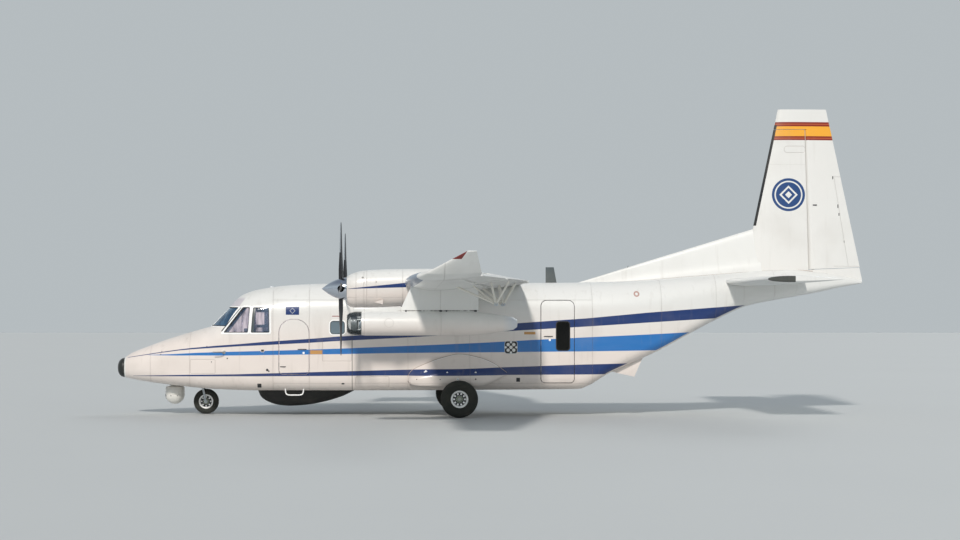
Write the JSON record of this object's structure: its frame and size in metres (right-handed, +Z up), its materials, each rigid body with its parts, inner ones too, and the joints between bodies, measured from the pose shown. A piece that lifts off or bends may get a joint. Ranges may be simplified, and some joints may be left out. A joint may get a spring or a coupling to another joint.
{
  "type": "twin turboprop utility airliner with patrol equipment",
  "caption": "High-wing turboprop utility airliner parked on its wheels, with winglets, underwing pods, belly radome, sensor ball, side doors and a rear ramp",
  "frame": {"origin": "centre of the bounding box on the ground", "axes": "-X is forward to the nose, -Y is the port side, +Z is up"},
  "size_m": [16.15, 20.2934, 6.6],
  "materials": {
    "nose_cap": "satin",
    "nose_section": "gloss paint",
    "nose_gear_leg": "satin",
    "cockpit_shell": "gloss paint",
    "cockpit_floor": "matt",
    "instrument_panel": "matt",
    "pilot_seat_port": "cloth",
    "pilot_seat_starboard": "cloth",
    "windshield": "clear",
    "side_window_port": "clear",
    "side_window_starboard": "clear",
    "cabin_belly": "gloss paint",
    "cabin_wall_port": "gloss paint",
    "cabin_wall_starboard": "gloss paint",
    "cabin_roof_front": "gloss paint",
    "cabin_roof_rear": "gloss paint",
    "aft_fuselage": "gloss paint",
    "fin": "gloss paint",
    "tailplane": "gloss paint",
    "wing_centre": "gloss paint",
    "outer_wing_port": "gloss paint",
    "outer_wing_starboard": "gloss paint",
    "nacelle_port": "gloss paint",
    "nacelle_starboard": "gloss paint",
    "engine_port": "satin",
    "engine_starboard": "satin",
    "pod_port": "gloss paint",
    "pod_starboard": "gloss paint",
    "pod_nose_port": "clear",
    "pod_nose_starboard": "clear",
    "pod_lamp_port": "polished",
    "pod_lamp_starboard": "polished",
    "sponson_port": "gloss paint",
    "sponson_starboard": "gloss paint",
    "main_gear_leg_port": "satin",
    "main_gear_leg_starboard": "satin",
    "belly_radome": "satin",
    "propeller_port": "polished",
    "propeller_starboard": "polished",
    "main_wheel_port_tyre": "matt",
    "main_wheel_port_rim": "painted",
    "main_wheel_starboard_tyre": "matt",
    "main_wheel_starboard_rim": "painted",
    "nose_fork": "satin",
    "nose_wheel_tyre": "matt",
    "nose_wheel_rim": "painted",
    "sensor_turret": "gloss paint",
    "crew_door": "gloss paint",
    "aft_door": "gloss paint",
    "rear_ramp": "gloss paint",
    "inner_flap_port": "gloss paint",
    "outer_flap_port": "gloss paint",
    "aileron_port": "gloss paint",
    "elevator_port": "gloss paint",
    "inner_flap_starboard": "gloss paint",
    "outer_flap_starboard": "gloss paint",
    "aileron_starboard": "gloss paint",
    "elevator_starboard": "gloss paint",
    "rudder": "gloss paint"
  },
  "bodies": {
    "airframe": {"nose_cap": "nose_cap", "nose_section": "nose_section", "nose_gear_leg": "nose_gear_leg", "cockpit_shell": "cockpit_shell", "cockpit_floor": "cockpit_floor", "instrument_panel": "instrument_panel", "pilot_seat_port": "pilot_seat_port", "pilot_seat_starboard": "pilot_seat_starboard", "windshield": "windshield", "side_window_port": "side_window_port", "side_window_starboard": "side_window_starboard", "cabin_belly": "cabin_belly", "cabin_wall_port": "cabin_wall_port", "cabin_wall_starboard": "cabin_wall_starboard", "cabin_roof_front": "cabin_roof_front", "cabin_roof_rear": "cabin_roof_rear", "aft_fuselage": "aft_fuselage", "fin": "fin", "tailplane": "tailplane", "wing_centre": "wing_centre", "outer_wing_port": "outer_wing_port", "outer_wing_starboard": "outer_wing_starboard", "nacelle_port": "nacelle_port", "nacelle_starboard": "nacelle_starboard", "engine_port": "engine_port", "engine_starboard": "engine_starboard", "pod_port": "pod_port", "pod_starboard": "pod_starboard", "pod_nose_port": "pod_nose_port", "pod_nose_starboard": "pod_nose_starboard", "pod_lamp_port": "pod_lamp_port", "pod_lamp_starboard": "pod_lamp_starboard", "sponson_port": "sponson_port", "sponson_starboard": "sponson_starboard", "main_gear_leg_port": "main_gear_leg_port", "main_gear_leg_starboard": "main_gear_leg_starboard", "belly_radome": "belly_radome"},
    "propeller_port": {"propeller_port": "propeller_port"},
    "propeller_starboard": {"propeller_starboard": "propeller_starboard"},
    "main_wheel_port": {"main_wheel_port_tyre": "main_wheel_port_tyre", "main_wheel_port_rim": "main_wheel_port_rim"},
    "main_wheel_starboard": {"main_wheel_starboard_tyre": "main_wheel_starboard_tyre", "main_wheel_starboard_rim": "main_wheel_starboard_rim"},
    "nose_fork": {"nose_fork": "nose_fork"},
    "nose_wheel": {"nose_wheel_tyre": "nose_wheel_tyre", "nose_wheel_rim": "nose_wheel_rim"},
    "sensor_turret": {"sensor_turret": "sensor_turret"},
    "crew_door": {"crew_door": "crew_door"},
    "aft_door": {"aft_door": "aft_door"},
    "rear_ramp": {"rear_ramp": "rear_ramp"},
    "inner_flap_port": {"inner_flap_port": "inner_flap_port"},
    "outer_flap_port": {"outer_flap_port": "outer_flap_port"},
    "aileron_port": {"aileron_port": "aileron_port"},
    "elevator_port": {"elevator_port": "elevator_port"},
    "inner_flap_starboard": {"inner_flap_starboard": "inner_flap_starboard"},
    "outer_flap_starboard": {"outer_flap_starboard": "outer_flap_starboard"},
    "aileron_starboard": {"aileron_starboard": "aileron_starboard"},
    "elevator_starboard": {"elevator_starboard": "elevator_starboard"},
    "rudder": {"rudder": "rudder"}
  },
  "joints": [
    {"name": "propeller_port_spin", "type": "hinge", "parent": "airframe", "child": "propeller_port", "pos_m": [-3.184, -2.65, 2.678], "axis": [1, 0, 0], "continuous": true},
    {"name": "propeller_starboard_spin", "type": "hinge", "parent": "airframe", "child": "propeller_starboard", "pos_m": [-3.184, 2.65, 2.678], "axis": [1, 0, 0], "continuous": true},
    {"name": "main_wheel_port_spin", "type": "hinge", "parent": "airframe", "child": "main_wheel_port", "pos_m": [-0.735, -1.55, 0.39], "axis": [0, 1, 0], "continuous": true},
    {"name": "main_wheel_starboard_spin", "type": "hinge", "parent": "airframe", "child": "main_wheel_starboard", "pos_m": [-0.735, 1.55, 0.39], "axis": [0, 1, 0], "continuous": true},
    {"name": "nose_steering", "type": "hinge", "parent": "airframe", "child": "nose_fork", "pos_m": [-6.22599, 0, 0.60962], "axis": [-0.2058, 0, 0.9786], "range_deg": [-50, 50]},
    {"name": "nose_wheel_spin", "type": "hinge", "parent": "nose_fork", "child": "nose_wheel", "pos_m": [-6.155, 0, 0.272], "axis": [0, 1, 0], "continuous": true},
    {"name": "turret_pan", "type": "hinge", "parent": "airframe", "child": "sensor_turret", "pos_m": [-6.833, 0, 0.422], "axis": [0, 0, 1], "continuous": true},
    {"name": "crew_door_hinge", "type": "hinge", "parent": "airframe", "child": "crew_door", "pos_m": [-4.5195, -1.11877, 1.5], "axis": [0, 0, -1], "range_deg": [0, 95]},
    {"name": "aft_door_hinge", "type": "hinge", "parent": "airframe", "child": "aft_door", "pos_m": [1.0065, -1.135, 1.5], "axis": [0, 0, -1], "range_deg": [0, 100]},
    {"name": "rear_ramp_hinge", "type": "hinge", "parent": "airframe", "child": "rear_ramp", "pos_m": [2.2455, 0, 0.81], "axis": [0, 1, 0], "range_deg": [0, 45]},
    {"name": "inner_flap_port_hinge", "type": "hinge", "parent": "airframe", "child": "inner_flap_port", "pos_m": [0.1378, -1.26, 2.36012], "axis": [0, 1, 0], "range_deg": [0, 40]},
    {"name": "outer_flap_port_hinge", "type": "hinge", "parent": "airframe", "child": "outer_flap_port", "pos_m": [0.11754, -3.25499, 2.3597], "axis": [0.1458, 0.9893, 0.0027], "range_deg": [0, 40]},
    {"name": "aileron_port_hinge", "type": "hinge", "parent": "airframe", "child": "aileron_port", "pos_m": [-0.5782, -6.33, 2.8214], "axis": [0.1458, 0.9893, 0.0027], "range_deg": [-25, 20]},
    {"name": "elevator_port_hinge", "type": "hinge", "parent": "airframe", "child": "elevator_port", "pos_m": [6.0613, -0.8, 2.85], "axis": [-0.0067, 1, 0], "range_deg": [-25, 20]},
    {"name": "inner_flap_starboard_hinge", "type": "hinge", "parent": "airframe", "child": "inner_flap_starboard", "pos_m": [0.1378, 1.26, 2.36012], "axis": [0, 1, 0], "range_deg": [0, 40]},
    {"name": "outer_flap_starboard_hinge", "type": "hinge", "parent": "airframe", "child": "outer_flap_starboard", "pos_m": [0.11754, 3.25499, 2.3597], "axis": [-0.1458, 0.9893, -0.0027], "range_deg": [0, 40]},
    {"name": "aileron_starboard_hinge", "type": "hinge", "parent": "airframe", "child": "aileron_starboard", "pos_m": [-0.5782, 6.33, 2.8214], "axis": [-0.1458, 0.9893, -0.0027], "range_deg": [-25, 20]},
    {"name": "elevator_starboard_hinge", "type": "hinge", "parent": "airframe", "child": "elevator_starboard", "pos_m": [6.0613, 0.8, 2.85], "axis": [0.0067, 1, 0], "range_deg": [-25, 20]},
    {"name": "rudder_hinge", "type": "hinge", "parent": "airframe", "child": "rudder", "pos_m": [7.011, 0, 3.14], "axis": [-0.0402, 0, 0.9992], "range_deg": [-25, 25]}
  ]
}
